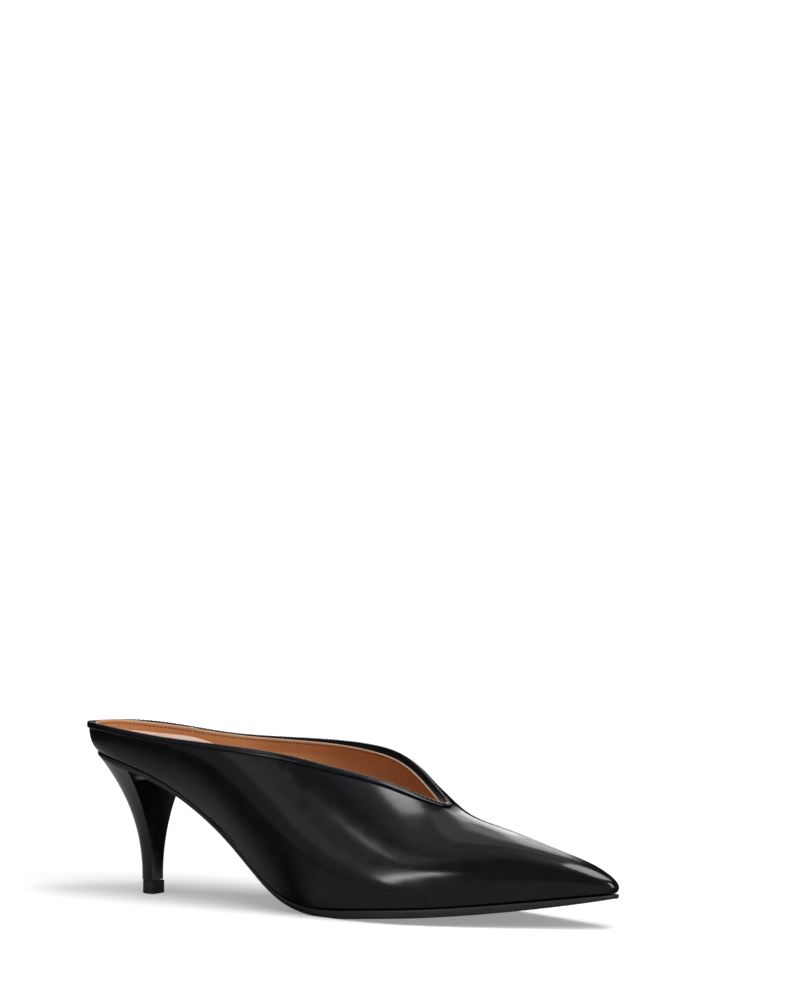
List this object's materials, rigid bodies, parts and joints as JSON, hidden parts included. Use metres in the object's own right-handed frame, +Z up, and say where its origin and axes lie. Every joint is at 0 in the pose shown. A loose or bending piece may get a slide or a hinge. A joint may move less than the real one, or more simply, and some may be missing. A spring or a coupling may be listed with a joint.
{
  "type": "pump shoe",
  "caption": "Pointed-toe backless pump with a deep V throat, a rolled collar edge and a slim covered heel, worn on the right foot.",
  "frame": {"origin": "on the floor, under the middle of the whole shoe's bounding box", "axes": "+X to the toe, +Y to the wearer's left, which is this right shoe's medial side, +Z up"},
  "size_m": [0.2502, 0.0724, 0.0724],
  "materials": {
    "upper_leather": "smooth, high shine",
    "binding_leather": "smooth, satin",
    "outsole": "satin",
    "sock": "smooth, matt",
    "heel_cover": "smooth, shine",
    "top_piece": "matt"
  },
  "bodies": {
    "root": {"upper": "upper_leather", "collar_binding": "binding_leather", "outsole": "outsole", "insole": "sock", "heel": "heel_cover", "top_piece": "top_piece"}
  },
  "joints": []
}
